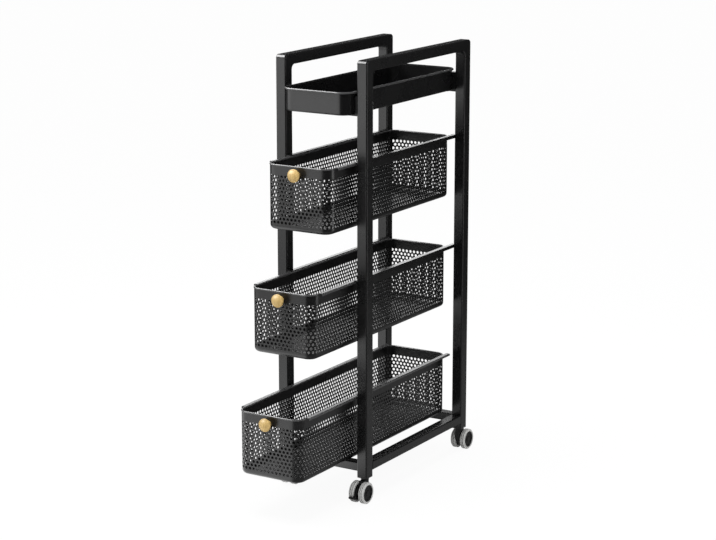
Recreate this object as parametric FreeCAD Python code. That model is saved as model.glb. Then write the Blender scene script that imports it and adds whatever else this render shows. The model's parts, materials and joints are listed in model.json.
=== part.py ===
import FreeCAD, Part
import math
import os
from FreeCAD import Vector

# A narrow kitchen cart on four twin-wheel castors.
# Two side frames of rectangular steel tube carry a fixed tray at the top and three sheet
# steel baskets that pull out to the front. X runs across the cart, Y from its front to its
# back and Z up. All sizes are in millimetres, and Y is counted from the front posts' front
# faces until the pieces are written, when the origin moves to the floor under the middle.

# Driving sizes of the frame
overall_height = 856.0
frame_width = 202.0
frame_depth = 400.0
tube_width = 22.0
tube_depth = 24.0
top_bar_height = 21.0
tube_wall = 1.2
tube_edge_radius = 2.5
outer_corner_radius = 7.0
inner_corner_radius = 10.0
castor_height = 48.0
rail_lift = 12.0
rail_height = 18.0
crossbar_depth = 20.0

# Driving sizes of the tray and its brackets
tray_rim_drop = 58.0
tray_height = 44.0
tray_overhang = 26.0
tray_rear_gap = 6.0
tray_side_gap = 4.0
tray_corner_radius = 25.0
tray_bottom_radius = 3.5
tray_hem_width = 2.0
tray_hem_height = 3.5
bracket_rise = 35.0
bracket_setback = 3.0
bracket_ledge = 2.5
bracket_ledge_reach = 28.0
bracket_block_reach = 17.0
bracket_screw_seat = 4.5
rivet_inset = 21.0
rear_rivet_shift = 6.0
rivet_radius = 1.6
rivet_head_radius = 2.8
rivet_tail_height = 1.0

# Driving sizes of the baskets: the height of the rims (the lower basket stands on its slide),
# how far each front stands out of the frame, and how far each back wall stays in front of
# the frame's back
upper_rim_height = 663.0
middle_rim_height = 437.0
upper_overhang = 83.0
middle_overhang = 140.0
lower_overhang = 186.0
upper_rear_gap = 22.0
middle_rear_gap = 32.0
lower_rear_gap = 32.0
basket_height = 125.0
basket_corner_radius = 20.0
basket_bottom_radius = 8.0
basket_hem_width = 1.5
basket_hem_height = 3.0
sheet_thickness = 1.0
flange_width = 7.3
flange_lip = 4.4
flange_start = 24.0
flange_tail = 2.0

# Driving sizes of the slides
pull_out = 300.0
slide_clearance = 0.3
flange_side_gap = 1.2
rail_wall = 1.0
rail_leg = 8.0
rail_front_gap = 2.0
rail_rear_gap = 4.0
rail_leg_rear_gap = 15.0
end_stop_length = 3.0
stop_lug_size = 3.0
channel_width = 36.0
channel_height = 5.0
channel_wall = 1.2
channel_lip = 6.0
channel_end_tab = 4.0
channel_lug_width = 10.0
runner_side_gap = 0.4
runner_stem_width = 12.0
runner_shoulder_width = 20.0
runner_shoulder_length = 8.0
runner_front_inset = 40.0
runner_rear_inset = 8.0
lower_floor_gap = 1.0
lower_closing = 14.0

# Driving sizes of the screws
screw_radius = 1.6
screw_head_radius = 2.4
screw_head_height = 0.8
screw_reach = 6.0
hole_clearance = 0.05

# How far a cutting shape reaches past the face that it cuts
past = 1.0

# Driving sizes of the knobs
knob_diameter = 25.0
knob_length = 20.0
knob_crown_height = 5.0
knob_rim_height = 4.0
knob_rim_radius = 2.0
knob_neck_diameter = 13.0
knob_neck_length = 5.0
knob_flare = 0.6
knob_drop = 16.0
knob_screw_radius = 1.75
knob_screw_depth = 12.0
knob_washer_radius = 5.0
knob_washer_thickness = 1.0
knob_screw_head_radius = 3.4
knob_screw_head_height = 1.8

# Driving sizes of the castors
wheel_diameter = 42.0
wheel_width = 11.0
hub_radius = 16.5
hub_dish_radius = 13.5
hub_dish_depth = 1.4
hub_boss_radius = 5.0
hub_end_wall = 1.2
hub_recess = 0.4
tyre_groove_depth = 0.7
tyre_groove_width = 1.2
tyre_shoulder = 1.6
castor_trail = 14.0
turned_castors = ("front_left", "rear_left", "rear_right")
hood_thickness = 9.4
hood_disc_radius = 14.5
hood_boss_radius = 8.0
hood_column = 7.0
hood_slot_wall = 1.2
wheel_side_gap = 0.5
axle_radius = 2.5
running_clearance = 0.05
stem_thread_radius = 4.0
stem_thread_length = 20.0
stem_pin_radius = 3.0
stem_pin_reach = 20.0
stem_collar_radius = 8.0
stem_collar_height = 1.5
plug_height = 22.0
lever_reach = 13.0
lever_arm_width = 4.4
lever_gap = 2.0
lever_thickness = 3.0
lever_arm_height = 6.0
lever_shoe_low = 9.0
lever_shoe_top = 5.0
lever_pin_radius = 1.5
lever_pin_back = 10.0
lever_pin_rise = 7.0

# Sizes worked out from the ones above
half_width = frame_width / 2
inner_half = half_width - tube_width
rail_bottom = castor_height + rail_lift
rail_top = rail_bottom + rail_height
bar_bottom = overall_height - top_bar_height
post_top = bar_bottom - inner_corner_radius
front_post_y = tube_depth / 2
rear_post_y = frame_depth - tube_depth / 2
post_x = half_width - tube_width / 2
basket_half = inner_half - rail_wall - flange_side_gap - flange_width
flange_reach = basket_half + flange_width
tray_half = inner_half - tray_side_gap
tray_rim = overall_height - tray_rim_drop
tray_bottom = tray_rim - tray_height
rail_inner_height = flange_lip + 2 * slide_clearance
wheel_radius = wheel_diameter / 2
wheel_inner = hood_thickness / 2 + wheel_side_gap
wheel_outer = wheel_inner + wheel_width
lower_rim_height = rail_top + channel_height + lower_floor_gap + basket_height

basket_rims = {"upper": upper_rim_height, "middle": middle_rim_height, "lower": lower_rim_height}
basket_fronts = {"upper": -upper_overhang, "middle": -middle_overhang, "lower": -lower_overhang}
basket_backs = {
    "upper": frame_depth - upper_rear_gap,
    "middle": frame_depth - middle_rear_gap,
    "lower": frame_depth - lower_rear_gap,
}
sides = {"left": -1, "right": 1}
ends = {"front": front_post_y, "rear": rear_post_y}


def box(x0, x1, y0, y1, z0, z1):
    """A plain block between two corners, given in any order on each axis."""
    low = Vector(min(x0, x1), min(y0, y1), min(z0, z1))
    return Part.makeBox(abs(x1 - x0), abs(y1 - y0), abs(z1 - z0), low)


def cylinder(radius, start, end):
    """A round bar from one point to another."""
    way = end - start
    return Part.makeCylinder(radius, way.Length, start, way)


def rounded_prism(half_x, y0, y1, z0, z1, radius):
    """An upright block, centred across the cart, with rounded upright edges."""
    block = box(-half_x, half_x, y0, y1, z0, z1)
    upright = [e for e in block.Edges if abs(e.Vertexes[0].Z - e.Vertexes[1].Z) > (z1 - z0) / 2]
    return block.makeFillet(radius, upright)


def section(width, height, radius):
    """A flat rounded rectangle in the XY plane, centred on the origin."""
    w, h, r = width / 2, height / 2, radius
    corners = [(w - r, h - r, 0), (-w + r, h - r, 90), (-w + r, -h + r, 180), (w - r, -h + r, 270)]
    edges = []
    last = None
    for cx, cy, start in corners:
        points = []
        for turn in (0, 45, 90):
            a = math.radians(start + turn)
            points.append(Vector(cx + r * math.cos(a), cy + r * math.sin(a), 0))
        if last is not None:
            edges.append(Part.makeLine(last, points[0]))
        edges.append(Part.Arc(*points).toShape())
        last = points[2]
    edges.append(Part.makeLine(last, edges[0].Vertexes[0].Point))
    return Part.Face(Part.Wire(edges))


def tube(width, height, length, along, centre):
    """A rectangular tube centred on a point: width is across, and height is up or back."""
    outer = section(width, height, tube_edge_radius)
    inner = section(width - 2 * tube_wall, height - 2 * tube_wall, tube_edge_radius - tube_wall)
    body = outer.cut(inner).extrude(Vector(0, 0, length))
    body.translate(Vector(0, 0, -length / 2))
    if along == "y":
        body.rotate(Vector(0, 0, 0), Vector(1, 0, 0), 90)
    if along == "x":
        body.rotate(Vector(0, 0, 0), Vector(0, 0, 1), 90)
        body.rotate(Vector(0, 0, 0), Vector(0, 1, 0), 90)
    body.translate(centre)
    return body


def revolve(points, axis_start, axis_way):
    """A closed outline of points, turned once round an axis."""
    wire = Part.makePolygon(points + [points[0]])
    return Part.Face(wire).revolve(axis_start, axis_way, 360)


# The frame

def rail_centre_height(name):
    """The middle height of the two slide rails of a basket, level with its flange lip."""
    return basket_rims[name] - flange_lip / 2


def post(side, end):
    """One upright tube, with the holes for the screws that enter its inner face."""
    x = sides[side] * post_x
    length = post_top - castor_height
    middle = Vector(x, ends[end], castor_height + length / 2)
    body = tube(tube_width, tube_depth, length, "z", middle)
    inner_x = sides[side] * inner_half
    through = sides[side] * tube_wall
    heights = [rail_centre_height("upper"), rail_centre_height("middle"), tray_screw_height()]
    for height in heights:
        start = Vector(inner_x - through, ends[end], height)
        finish = Vector(inner_x + 2 * through, ends[end], height)
        body = body.cut(cylinder(screw_radius + hole_clearance, start, finish))
    return body


def arch_outline(inset, foot):
    """The side view of a top bar with its two corners, drawn smaller by inset on every side."""
    front, back = inset, frame_depth - inset
    top = overall_height - inset
    inner_front, inner_back = tube_depth - inset, frame_depth - tube_depth + inset
    under = bar_bottom + inset
    ro = outer_corner_radius - inset
    ri = inner_corner_radius + inset
    c = math.sqrt(0.5)

    def p(y, z):
        return Vector(0, y, z)

    edges = [
        Part.makeLine(p(front, foot), p(front, top - ro)),
        Part.Arc(
            p(front, top - ro),
            p(front + ro * (1 - c), top - ro * (1 - c)),
            p(front + ro, top),
        ).toShape(),
        Part.makeLine(p(front + ro, top), p(back - ro, top)),
        Part.Arc(
            p(back - ro, top),
            p(back - ro * (1 - c), top - ro * (1 - c)),
            p(back, top - ro),
        ).toShape(),
        Part.makeLine(p(back, top - ro), p(back, foot)),
        Part.makeLine(p(back, foot), p(inner_back, foot)),
    ]
    bend_z = under - ri
    if bend_z > foot + 1e-6:
        edges.append(Part.makeLine(p(inner_back, foot), p(inner_back, bend_z)))
    edges += [
        Part.Arc(
            p(inner_back, bend_z),
            p(inner_back - ri * (1 - c), under - ri * (1 - c)),
            p(inner_back - ri, under),
        ).toShape(),
        Part.makeLine(p(inner_back - ri, under), p(inner_front + ri, under)),
        Part.Arc(
            p(inner_front + ri, under),
            p(inner_front + ri * (1 - c), under - ri * (1 - c)),
            p(inner_front, bend_z),
        ).toShape(),
    ]
    if bend_z > foot + 1e-6:
        edges.append(Part.makeLine(p(inner_front, bend_z), p(inner_front, foot)))
    edges.append(Part.makeLine(p(inner_front, foot), p(front, foot)))
    return Part.Face(Part.Wire(edges))


def top_bar(side):
    """The tube that joins two posts and is the push handle, with its rounded corners."""
    outer = arch_outline(0, post_top).extrude(Vector(tube_width, 0, 0))
    long_edges = []
    for edge in outer.Edges:
        ends_x = [v.X for v in edge.Vertexes]
        on_foot = all(abs(v.Z - post_top) < 1e-3 for v in edge.Vertexes)
        if abs(ends_x[0] - ends_x[-1]) < 1e-3 and not on_foot:
            long_edges.append(edge)
    outer = outer.makeFillet(tube_edge_radius, long_edges)
    hollow = arch_outline(tube_wall, post_top - tube_wall).extrude(Vector(tube_width - 2 * tube_wall, 0, 0))
    hollow.translate(Vector(tube_wall, 0, 0))
    body = outer.cut(hollow)
    body.translate(Vector(sides[side] * post_x - tube_width / 2, 0, 0))
    return body


def bottom_rail(side):
    """The low tube between the front and the rear post of one side."""
    length = frame_depth - 2 * tube_depth
    centre = Vector(sides[side] * post_x, frame_depth / 2, rail_bottom + rail_height / 2)
    return tube(tube_width, rail_height, length, "y", centre)


def crossbar(end):
    """A low tube welded between the two side frames."""
    centre = Vector(0, ends[end], rail_bottom + rail_height / 2)
    return tube(crossbar_depth, rail_height, 2 * inner_half, "x", centre)


def post_plugs():
    """Four plastic plugs in the lower ends of the posts, which the castor stems screw into."""
    plugs = []
    gap = 2 * (tube_wall + hole_clearance)
    for side in sides.values():
        for y in ends.values():
            plug = section(tube_width - gap, tube_depth - gap, tube_edge_radius - tube_wall).extrude(
                Vector(0, 0, plug_height)
            )
            plug.translate(Vector(side * post_x, y, castor_height))
            foot = Vector(side * post_x, y, castor_height - past)
            top = Vector(side * post_x, y, castor_height + plug_height + past)
            plugs.append(plug.cut(cylinder(stem_thread_radius + hole_clearance, foot, top)))
    return Part.makeCompound(plugs)


# The tray

def pan(half_x, y0, y1, z0, z1, corner, bottom, hem_width, hem_height):
    """A drawn sheet steel pan with rounded corners, a rounded bottom edge and a hem round its rim."""

    def shell(inset, radius):
        block = rounded_prism(half_x - inset, y0 + inset, y1 - inset, z0 + inset, z1, corner - inset)
        low = [e for e in block.Edges if all(abs(v.Z - z0 - inset) < 1e-3 for v in e.Vertexes)]
        return block.makeFillet(radius, low)

    outer = shell(0, bottom)
    hem = rounded_prism(
        half_x + hem_width, y0 - hem_width, y1 + hem_width, z1 - hem_height, z1, corner + hem_width
    )
    inner = shell(sheet_thickness, bottom - sheet_thickness)
    return outer.fuse(hem).cut(inner).removeSplitter()


def tray_wall_half():
    return tray_half - tray_hem_width


def tray_wall_front():
    return -tray_overhang + tray_hem_width


def tray_wall_back():
    return frame_depth - tray_rear_gap - tray_hem_width


def tray_screw_height():
    """The height of the screws that hold the tray brackets to the posts."""
    return tray_bottom + bracket_rise / 2


def rivet_places():
    """Where the tray is riveted to its brackets, clear of the rounded foot of its walls."""
    depths = (front_post_y, rear_post_y - rear_rivet_shift)
    return [(s * (inner_half - rivet_inset), y) for s in sides.values() for y in depths]


def rivet_seat(x, y, clearance):
    """The countersunk head of a rivet, level with the tray's floor, and its shank below."""
    foot = Vector(x, y, tray_bottom)
    head = Part.makeCone(rivet_radius + clearance, rivet_head_radius + clearance, sheet_thickness, foot)
    return head.fuse(cylinder(rivet_radius + clearance, Vector(x, y, tray_bottom - bracket_ledge), foot))


def tray():
    body = pan(
        tray_wall_half(),
        tray_wall_front(),
        tray_wall_back(),
        tray_bottom,
        tray_rim,
        tray_corner_radius - tray_hem_width,
        tray_bottom_radius,
        tray_hem_width,
        tray_hem_height,
    )
    for x, y in rivet_places():
        body = body.cut(rivet_seat(x, y, hole_clearance))
    return body


def tray_brackets(end):
    """Two moulded brackets on the posts of one end: a block that fits the tray's side or
    corner, and a ledge under its floor."""
    brackets = []
    y0 = ends[end] - tube_depth / 2 + bracket_setback
    y1 = ends[end] + tube_depth / 2 - bracket_setback
    under = tray_bottom - bracket_ledge
    room = rounded_prism(
        tray_wall_half(), tray_wall_front(), tray_wall_back(), tray_bottom, tray_rim,
        tray_corner_radius - tray_hem_width,
    )
    for s in sides.values():
        wall_x = s * inner_half
        block = box(wall_x, wall_x - s * bracket_block_reach, y0, y1, under, tray_bottom + bracket_rise)
        ledge = box(wall_x, wall_x - s * bracket_ledge_reach, y0, y1, under, tray_bottom)
        body = block.fuse(ledge).cut(room)
        seat = Vector(wall_x - s * bracket_screw_seat, ends[end], tray_screw_height())
        inside = Vector(wall_x - s * 2 * bracket_ledge_reach, ends[end], tray_screw_height())
        outside = Vector(wall_x + s, ends[end], tray_screw_height())
        body = body.cut(cylinder(screw_head_radius + hole_clearance, seat, inside))
        body = body.cut(cylinder(screw_radius + hole_clearance, seat, outside))
        for x, y in rivet_places():
            low = Vector(x, y, under - past)
            high = Vector(x, y, tray_bottom + past)
            body = body.cut(cylinder(rivet_radius + hole_clearance, low, high))
        brackets.append(body.removeSplitter())
    return Part.makeCompound(brackets)


def tray_rivets():
    """Four countersunk rivets through the tray floor and the bracket ledges."""
    rivets = []
    under = tray_bottom - bracket_ledge
    for x, y in rivet_places():
        tail = cylinder(rivet_head_radius, Vector(x, y, under - rivet_tail_height), Vector(x, y, under))
        rivets.append(rivet_seat(x, y, 0).fuse(tail).removeSplitter())
    return Part.makeCompound(rivets)


# The baskets

def flange(name, side):
    """The bent flange along one long side of a basket, with its lip and its closed tail."""
    s = sides[side]
    rim = basket_rims[name]
    start = basket_fronts[name] + flange_start
    back = basket_backs[name]
    tail = back + flange_tail
    low = rim - sheet_thickness
    tip = s * flange_reach
    plate = box(s * basket_half, tip, start, tail, low, rim)
    corner = box(s * (basket_half - basket_corner_radius), tip, back - basket_corner_radius, back, low, rim)
    lip = box(tip - s * sheet_thickness, tip, start, tail, rim - flange_lip, rim)
    end_tab = box(s * basket_half, tip, tail - sheet_thickness, tail, rim - flange_lip, rim)
    return plate.fuse(corner).fuse(lip).fuse(end_tab)


def basket(name):
    """A basket of sheet steel. Its walls and floor are drawn plain, without the round holes."""
    front, back, rim = basket_fronts[name], basket_backs[name], basket_rims[name]
    body = pan(
        basket_half,
        front,
        back,
        rim - basket_height,
        rim,
        basket_corner_radius,
        basket_bottom_radius,
        0,
        basket_hem_height,
    )
    hem = rounded_prism(
        basket_half, front - basket_hem_width, back + basket_hem_width, rim - basket_hem_height, rim,
        basket_corner_radius,
    )
    room = rounded_prism(
        basket_half - sheet_thickness, front + sheet_thickness, back - sheet_thickness,
        rim - basket_height / 2, rim + past, basket_corner_radius - sheet_thickness,
    )
    for side in sides:
        hem = hem.fuse(flange(name, side))
    body = body.fuse(hem.cut(room)).removeSplitter()
    screw = cylinder(
        knob_screw_radius + hole_clearance,
        Vector(0, front - 2 * basket_hem_width, rim - knob_drop),
        Vector(0, front + 2 * sheet_thickness, rim - knob_drop),
    )
    return body.cut(screw)


def knob(name):
    """A turned wooden knob on the middle of a basket's front."""
    y = basket_fronts[name]
    z = basket_rims[name] - knob_drop
    r = knob_diameter / 2
    n = knob_neck_diameter / 2
    t = knob_screw_radius + hole_clearance
    rim_end = knob_length - knob_crown_height
    rim_start = rim_end - knob_rim_height
    rounding = knob_rim_radius
    corner = rounding * math.sqrt(0.5)
    crown_edge = r - rounding
    crown_radius = (crown_edge ** 2 + knob_crown_height ** 2) / (2 * knob_crown_height)
    half_turn = math.asin(crown_edge / crown_radius) / 2
    crown_middle = knob_length - crown_radius * (1 - math.cos(half_turn))

    def p(radius, out):
        return Vector(0, y - out, z + radius)

    edges = [
        Part.makeLine(p(t, 0), p(n, 0)),
        Part.makeLine(p(n, 0), p(n, knob_neck_length)),
        Part.Arc(
            p(n, knob_neck_length),
            p(n + knob_flare * (r - n), (knob_neck_length + rim_start) / 2),
            p(r, rim_start),
        ).toShape(),
        Part.makeLine(p(r, rim_start), p(r, rim_end - rounding)),
        Part.Arc(
            p(r, rim_end - rounding),
            p(crown_edge + corner, rim_end - rounding + corner),
            p(crown_edge, rim_end),
        ).toShape(),
        Part.Arc(
            p(crown_edge, rim_end),
            p(crown_radius * math.sin(half_turn), crown_middle),
            p(0, knob_length),
        ).toShape(),
        Part.makeLine(p(0, knob_length), p(0, knob_screw_depth)),
        Part.makeLine(p(0, knob_screw_depth), p(t, knob_screw_depth)),
        Part.makeLine(p(t, knob_screw_depth), p(t, 0)),
    ]
    return Part.Face(Part.Wire(edges)).revolve(Vector(0, y, z), Vector(0, 1, 0), 360)


def knob_fixing(name):
    """The screw and washer inside a basket's front wall that hold its knob."""
    z = basket_rims[name] - knob_drop
    inner = basket_fronts[name] + sheet_thickness
    back = inner + knob_washer_thickness

    def at(y):
        return Vector(0, y, z)

    washer = cylinder(knob_washer_radius, at(inner), at(back))
    washer = washer.cut(cylinder(knob_screw_radius + hole_clearance, at(inner - past), at(back + past)))
    tip = basket_fronts[name] - knob_screw_depth + hole_clearance
    shank = cylinder(knob_screw_radius, at(tip), at(back))
    head = cylinder(knob_screw_head_radius, at(back), at(back + knob_screw_head_height))
    return Part.makeCompound([washer, shank.fuse(head).removeSplitter()])


# The slides of the upper and the middle basket

def slide_stop(name):
    """The Y of the front stop lug's back face, where the flange tail ends its pull."""
    tail = basket_backs[name] + flange_tail
    return tail - sheet_thickness - pull_out - slide_clearance


def slide_rail(name, side):
    """A C-shaped rail between the posts. The basket's flange runs in it, as far as a stop lug.
    Its legs end in front of the rear screw, and its web goes on as a tab for that screw."""
    s = sides[side]
    rim = basket_rims[name]
    web_x = s * inner_half
    leg_x = s * (inner_half - rail_leg)
    top = rim + slide_clearance
    low = rim - flange_lip - slide_clearance
    y0, y1 = rail_front_gap, frame_depth - rail_leg_rear_gap
    web_end = frame_depth - rail_rear_gap
    body = box(web_x, web_x - s * rail_wall, y0, web_end, low - rail_wall, top + rail_wall)
    body = body.fuse(box(web_x, leg_x, y0, y1, top, top + rail_wall))
    body = body.fuse(box(web_x, leg_x, y0, y1, low - rail_wall, low))
    lug_x = s * (inner_half - rail_leg)
    lug_top = rim - sheet_thickness - 2 * slide_clearance
    stop = slide_stop(name)
    body = body.fuse(box(lug_x, lug_x + s * stop_lug_size, stop - stop_lug_size, stop, low, lug_top))
    for y in ends.values():
        start = Vector(web_x + s * past, y, rail_centre_height(name))
        finish = Vector(web_x - s * 2 * rail_wall, y, rail_centre_height(name))
        body = body.cut(cylinder(screw_radius + hole_clearance, start, finish))
    return body.removeSplitter()


def rail_end_stops():
    """Four plastic blocks pressed into the rear ends of the slide rails."""
    stops = []
    for name in ("upper", "middle"):
        for s in sides.values():
            web_x = s * (inner_half - rail_wall)
            leg_x = s * (inner_half - rail_leg)
            low = basket_rims[name] - flange_lip - slide_clearance
            back = frame_depth - rail_leg_rear_gap
            stops.append(box(web_x, leg_x, back - end_stop_length, back, low, low + rail_inner_height))
    return Part.makeCompound(stops)


def rail_screws():
    """Low-headed screws that hold the slide rails and the tray brackets to the posts."""
    screws = []
    seats = [(rail_centre_height("upper"), rail_wall), (rail_centre_height("middle"), rail_wall)]
    seats.append((tray_screw_height(), bracket_screw_seat))
    for s in sides.values():
        for y in ends.values():
            for z, wall in seats:
                seat = Vector(s * (inner_half - wall), y, z)
                head = Vector(s * (inner_half - wall - screw_head_height), y, z)
                tip = Vector(s * (inner_half + screw_reach), y, z)
                shank = cylinder(screw_radius, seat, tip)
                screws.append(shank.fuse(cylinder(screw_head_radius, head, seat)).removeSplitter())
    return Part.makeCompound(screws)


# The slide of the lower basket

def lower_channel():
    """A channel along the middle of the two crossbars, with lips that hold the runner down."""
    w, z0 = channel_width / 2, rail_top
    y0, y1 = front_post_y - crossbar_depth / 2, rear_post_y + crossbar_depth / 2
    body = box(-w, w, y0, y1, z0, z0 + channel_height)
    floor, lips = z0 + channel_wall, z0 + channel_height - channel_wall
    inner = w - channel_wall
    slot = inner - channel_lip
    body = body.cut(box(-inner, inner, y0 - past, y1 + past, floor, lips))
    body = body.cut(box(-slot, slot, y0 - past, y1 + past, floor, lips + channel_wall + past))
    tab_x = runner_stem_width / 2 + 2 * runner_side_gap
    for s in sides.values():
        tab = box(s * tab_x, s * (w - channel_wall), y0, y0 + channel_end_tab,
                  z0 + channel_height - channel_wall, z0 + channel_height)
        body = body.fuse(tab)
    lug_y = lower_runner_back() + lower_closing + slide_clearance
    lug = box(-channel_lug_width / 2, channel_lug_width / 2, lug_y, lug_y + channel_wall,
              z0, z0 + channel_height - channel_wall)
    return body.fuse(lug).removeSplitter()


def lower_runner_back():
    return basket_backs["lower"] - runner_rear_inset


def lower_runner():
    """A T-shaped runner under the lower basket, with shoulders that stop its pull."""
    y0 = basket_fronts["lower"] + runner_front_inset
    y1 = lower_runner_back()
    foot_low = rail_top + channel_wall + slide_clearance
    foot_top = rail_top + channel_height - channel_wall - slide_clearance
    foot_x = channel_width / 2 - channel_wall - runner_side_gap
    floor = basket_rims["lower"] - basket_height
    stem_x = runner_stem_width / 2
    body = box(-foot_x, foot_x, y0, y1, foot_low, foot_top)
    body = body.fuse(box(-stem_x, stem_x, y0, y1, foot_top, floor))
    channel_front = front_post_y - crossbar_depth / 2
    stop = channel_front + channel_end_tab + slide_clearance + pull_out
    shoulder = runner_shoulder_width / 2
    body = body.fuse(box(-shoulder, shoulder, stop, stop + runner_shoulder_length, foot_top, floor))
    return body.removeSplitter()


# The castors

def castor_places():
    return {
        end + "_" + side: Vector(sides[side] * post_x, ends[end], 0)
        for end in ends
        for side in sides
    }


def castor_stems():
    """Four stems: a thread in the post plug, a collar and a pin that the castor swivels on."""
    stems = []
    for place in castor_places().values():
        def at(z):
            return Vector(place.x, place.y, z)
        collar_low = castor_height - stem_collar_height
        thread = cylinder(stem_thread_radius, at(castor_height), at(castor_height + stem_thread_length))
        collar = cylinder(stem_collar_radius, at(collar_low), at(castor_height))
        pin = cylinder(stem_pin_radius, at(collar_low - stem_pin_reach), at(collar_low))
        stems.append(thread.fuse(collar).fuse(pin).removeSplitter())
    return Part.makeCompound(stems)


def hood(place, braked):
    """The body of a castor: a disc round the axle, a column for the stem and a boss on top."""
    half = hood_thickness / 2
    x, y, axle_z = place.x, place.y, wheel_radius
    axle_y = y - castor_trail
    top = castor_height - stem_collar_height - slide_clearance
    boss_low = wheel_diameter + 2 * slide_clearance
    disc = cylinder(hood_disc_radius, Vector(x - half, axle_y, axle_z), Vector(x + half, axle_y, axle_z))
    column = box(x - half, x + half, axle_y, y + hood_column, axle_z, boss_low)
    boss = cylinder(hood_boss_radius, Vector(x, y, boss_low), Vector(x, y, top))
    body = disc.fuse(column).fuse(boss)
    pin_low = castor_height - stem_collar_height - stem_pin_reach - slide_clearance
    pin_bore = cylinder(stem_pin_radius + running_clearance, Vector(x, y, pin_low), Vector(x, y, top + past))
    axle_bore = cylinder(
        axle_radius + running_clearance,
        Vector(x - half - past, axle_y, axle_z),
        Vector(x + half + past, axle_y, axle_z),
    )
    body = body.cut(pin_bore).cut(axle_bore)
    if braked:
        pin_y, pin_z = axle_y - lever_pin_back, axle_z + lever_pin_rise
        slot_half = lever_arm_width / 2 + slide_clearance
        slot_back = axle_y - axle_radius - hood_slot_wall
        slot = box(x - slot_half, x + slot_half, slot_back, axle_y - wheel_radius, 0, castor_height)
        pin_start = Vector(x - slot_half, pin_y, pin_z)
        pin = cylinder(lever_pin_radius, pin_start, Vector(x + slot_half, pin_y, pin_z))
        body = body.cut(slot).fuse(pin)
    return body.removeSplitter()


def axle(place):
    """The steel pin that carries the two wheels of a castor."""
    reach = wheel_outer - hub_recess - hub_end_wall - slide_clearance
    y, z = place.y - castor_trail, wheel_radius
    return cylinder(axle_radius, Vector(place.x - reach, y, z), Vector(place.x + reach, y, z))


def hub(place, s):
    """A plastic wheel centre with a dished outer face that covers the axle's end."""
    y, z = place.y - castor_trail, wheel_radius
    bore = axle_radius + running_clearance
    face = wheel_outer - hub_recess
    bore_end = face - hub_end_wall
    profile = [
        (wheel_inner, bore),
        (wheel_inner, hub_radius),
        (face, hub_radius),
        (face, hub_dish_radius),
        (face - hub_dish_depth, hub_dish_radius - hub_dish_depth),
        (face - hub_dish_depth, hub_boss_radius + hub_dish_depth),
        (face, hub_boss_radius),
        (face, 0),
        (bore_end, 0),
        (bore_end, bore),
    ]
    points = [Vector(place.x + s * out, y, z + radius) for out, radius in profile]
    return revolve(points, Vector(place.x, y, z), Vector(1, 0, 0))


def tyre(place, s):
    """A grey rubber tyre with two shallow grooves round its tread."""
    y, z = place.y - castor_trail, wheel_radius
    w0, w1, r = wheel_inner, wheel_outer, wheel_radius
    g = tyre_groove_width / 2
    groove_one = w0 + wheel_width / 3
    groove_two = w0 + wheel_width * 2 / 3
    d = tyre_groove_depth
    profile = [
        (w0, hub_radius),
        (w0, r - tyre_shoulder),
        (w0 + tyre_shoulder, r),
        (groove_one - g, r),
        (groove_one, r - d),
        (groove_one + g, r),
        (groove_two - g, r),
        (groove_two, r - d),
        (groove_two + g, r),
        (w1 - tyre_shoulder, r),
        (w1, r - tyre_shoulder),
        (w1, hub_radius),
    ]
    points = [Vector(place.x + s * out, y, z + radius) for out, radius in profile]
    return revolve(points, Vector(place.x, y, z), Vector(1, 0, 0))


def brake_lever(place):
    """A lever on a pin in the hood: pressed down, the shoe on its left wing closes on the tyre."""
    x, axle_y, axle_z = place.x, place.y - castor_trail, wheel_radius
    pin_y, pin_z = axle_y - lever_pin_back, axle_z + lever_pin_rise
    inner = wheel_radius + lever_gap
    outer = inner + lever_thickness
    low, top = -lever_shoe_low, -lever_shoe_top
    left, right = x - lever_reach, x + lever_arm_width / 2

    def disc(radius, x0, x1):
        return cylinder(radius, Vector(x0, axle_y, axle_z), Vector(x1, axle_y, axle_z))

    def on_arc(radius, rise):
        return axle_y - math.sqrt(radius ** 2 - rise ** 2)

    ring = disc(outer, left, right).cut(disc(inner, left - past, right + past))
    keep = box(left, right, axle_y - outer - past, axle_y, axle_z + low, axle_z + top)
    pad = ring.common(keep)
    arm_left = x - lever_arm_width / 2
    arm_rise = lever_arm_height / 2
    arm_points = [
        Vector(arm_left, pin_y + arm_rise, pin_z + arm_rise),
        Vector(arm_left, pin_y - arm_rise, pin_z + arm_rise),
        Vector(arm_left, on_arc(outer, top) + hole_clearance, axle_z + top),
        Vector(arm_left, on_arc(outer, low) + hole_clearance, axle_z + low),
        Vector(arm_left, on_arc(inner, low), axle_z + low),
        Vector(arm_left, pin_y + arm_rise, pin_z - arm_rise),
    ]
    arm = Part.Face(Part.makePolygon(arm_points + [arm_points[0]])).extrude(Vector(lever_arm_width, 0, 0))
    bore = cylinder(
        lever_pin_radius + running_clearance,
        Vector(left, pin_y, pin_z),
        Vector(right + past, pin_y, pin_z),
    )
    return pad.fuse(arm).cut(bore).removeSplitter()


def castor(corner, place):
    """The pieces of one castor by name. It is drawn trailing to the front, then turned if need be."""
    turned = corner in turned_castors
    braked = corner.startswith("front")
    pieces = {"castor_hood_" + corner: hood(place, braked), "castor_axle_" + corner: axle(place)}
    for side, s in sides.items():
        drawn = -s if turned else s
        pieces["castor_hub_" + corner + "_" + side] = hub(place, drawn)
        pieces["castor_tyre_" + corner + "_" + side] = tyre(place, drawn)
    if braked:
        pieces["brake_lever_" + corner] = brake_lever(place)
    if turned:
        for piece in pieces.values():
            piece.rotate(place, Vector(0, 0, 1), 180)
    return pieces


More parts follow.
